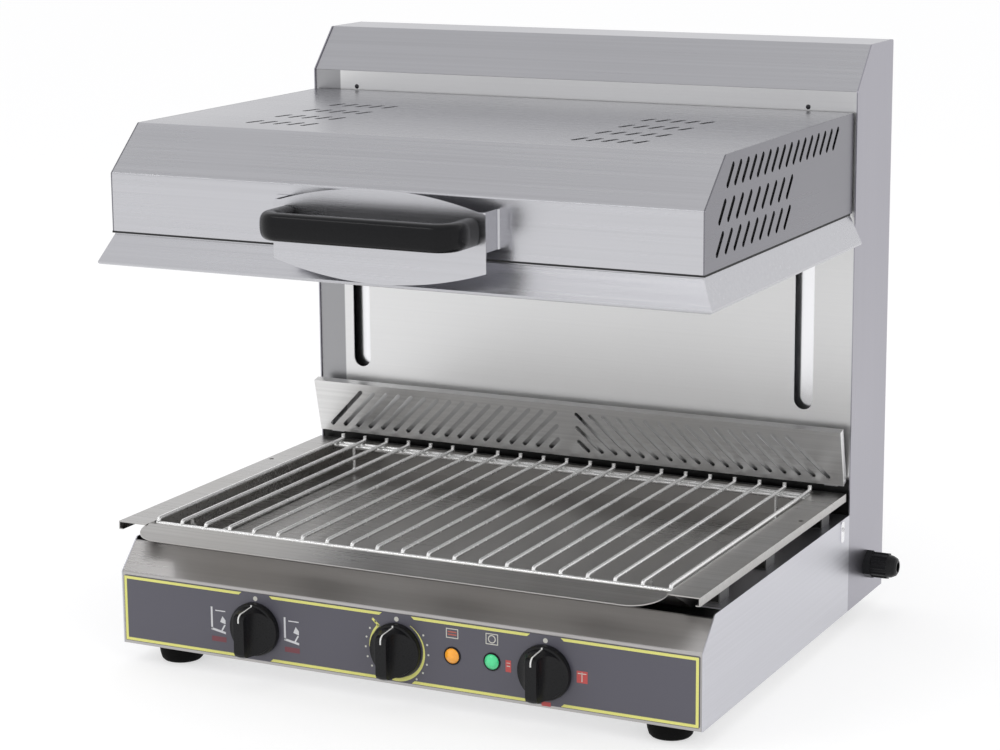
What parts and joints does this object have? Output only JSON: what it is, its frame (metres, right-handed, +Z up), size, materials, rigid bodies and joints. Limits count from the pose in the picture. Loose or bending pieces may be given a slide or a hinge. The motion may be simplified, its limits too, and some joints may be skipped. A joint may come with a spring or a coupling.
{
  "type": "cheese melter",
  "caption": "Counter-top cheese melter whose heated hood slides up and down a rear tower, over a drip tray with a wire rack.",
  "frame": {"origin": "on the floor, under the middle of the whole outline, which runs from the hood's skirt to the cable gland and from the grip to the rear screws", "axes": "+Z up, -Y towards the front, +X to the right seen from the front"},
  "size_m": [0.6402, 0.566, 0.579],
  "materials": {
    "stainless_sheet": "brushed",
    "inner_sheet": "mill finish",
    "bright_sheet": "bright annealed",
    "panel_overlay": "satin print",
    "black_moulding": "satin",
    "foot_rubber": "matt",
    "switch_moulding": "matt",
    "terminal_moulding": "matt",
    "pulley_moulding": "matt",
    "turned_steel": "turned",
    "steel_cable": "stranded",
    "rack_wire": "bright",
    "lamp_orange": "clear",
    "lamp_green": "clear",
    "quartz_tube": "frosted",
    "ceramic": "unglazed",
    "insulation": "fibrous",
    "bronze": "sintered",
    "ballast_iron": "painted"
  },
  "bodies": {
    "body": {"base_bottom": "inner_sheet", "base_side_left": "stainless_sheet", "base_side_right": "stainless_sheet", "base_front": "stainless_sheet", "control_panel": "panel_overlay", "heat_shield": "inner_sheet", "tray_supports": "inner_sheet", "feet": "foot_rubber", "tower_side_left": "stainless_sheet", "tower_side_right": "stainless_sheet", "tower_front_panel": "stainless_sheet", "tower_cap": "stainless_sheet", "rear_cover": "stainless_sheet", "cover_screws": "turned_steel", "upper_shelf": "inner_sheet", "lower_shelf": "inner_sheet", "guide_rods": "turned_steel", "slot_backings": "bright_sheet", "counterweight_guides": "inner_sheet", "cable_wraps": "steel_cable", "cable_gland": "black_moulding", "terminal_block": "terminal_moulding", "selector_switch": "switch_moulding", "power_regulator": "switch_moulding", "zone_switch": "switch_moulding", "pilot_lamp_orange": "lamp_orange", "pilot_lamp_green": "lamp_green", "flap_brackets": "inner_sheet", "flap_pins": "turned_steel", "microswitch": "switch_moulding", "microswitch_bracket": "inner_sheet"},
    "hood": {"hood_top_shell": "stainless_sheet", "hood_side_left": "stainless_sheet", "hood_side_right": "stainless_sheet", "hood_back_plate": "inner_sheet", "hood_skirt": "stainless_sheet", "element_pan": "bright_sheet", "heating_elements": "quartz_tube", "element_caps": "ceramic", "insulation_board": "insulation", "hood_arms": "inner_sheet", "carriage": "inner_sheet", "carriage_bushes": "bronze", "cables_front": "steel_cable", "handle": "black_moulding", "handle_plate": "stainless_sheet", "handle_brackets": "stainless_sheet"},
    "counterweight": {"counterweight": "ballast_iron", "cables_rear": "steel_cable"},
    "pulleys": {"pulleys": "pulley_moulding", "pulley_shaft": "turned_steel"},
    "selector": {"selector_knob": "black_moulding", "selector_shaft": "turned_steel"},
    "power": {"power_knob": "black_moulding", "power_shaft": "turned_steel"},
    "zone": {"zone_knob": "black_moulding", "zone_shaft": "turned_steel"},
    "flap": {"detection_flap": "stainless_sheet"},
    "tray": {"drip_tray": "stainless_sheet"},
    "rack": {"wire_rack": "rack_wire"}
  },
  "joints": [
    {"name": "hood_lift", "type": "slide", "parent": "body", "child": "hood", "axis": [0, 0, 1], "range_m": [-0.19, 0], "deforming": ["cables_front"]},
    {"name": "counterweight_slide", "type": "slide", "parent": "body", "child": "counterweight", "axis": [0, 0, 1], "range_m": [0, 0.19], "deforming": ["cables_rear"]},
    {"name": "pulley_turn", "type": "hinge", "parent": "body", "child": "pulleys", "pos_m": [-0.01175, 0.223, 0.549], "axis": [1, 0, 0], "range_deg": [-1, 545.3]},
    {"name": "selector_turn", "type": "hinge", "parent": "body", "child": "selector", "pos_m": [-0.16175, -0.209, 0.054], "axis": [0, 1, 0], "range_deg": [-90, 90]},
    {"name": "power_turn", "type": "hinge", "parent": "body", "child": "power", "pos_m": [-0.01175, -0.209, 0.054], "axis": [0, 1, 0], "range_deg": [0, 315]},
    {"name": "zone_turn", "type": "hinge", "parent": "body", "child": "zone", "pos_m": [0.13825, -0.209, 0.054], "axis": [0, 1, 0], "range_deg": [0, 270]},
    {"name": "flap_tilt", "type": "hinge", "parent": "body", "child": "flap", "pos_m": [-0.01175, 0.1715, 0.155], "axis": [-1, 0, 0], "range_deg": [0, 8], "stiffness_Nm_per_rad": 0.6, "springref_deg": -20.05},
    {"name": "tray_pull", "type": "slide", "parent": "body", "child": "tray", "axis": [0, -0.8799, 0.4751], "range_m": [0, 0.06]},
    {"name": "rack_lift", "type": "slide", "parent": "tray", "child": "rack", "axis": [0, 0, 1], "range_m": [0, 0.02]}
  ],
  "couplings": [
    {"joint": "counterweight_slide", "follows": "hood_lift", "ratio": -1},
    {"joint": "pulley_turn", "follows": "hood_lift", "rad_per_m": -50}
  ]
}
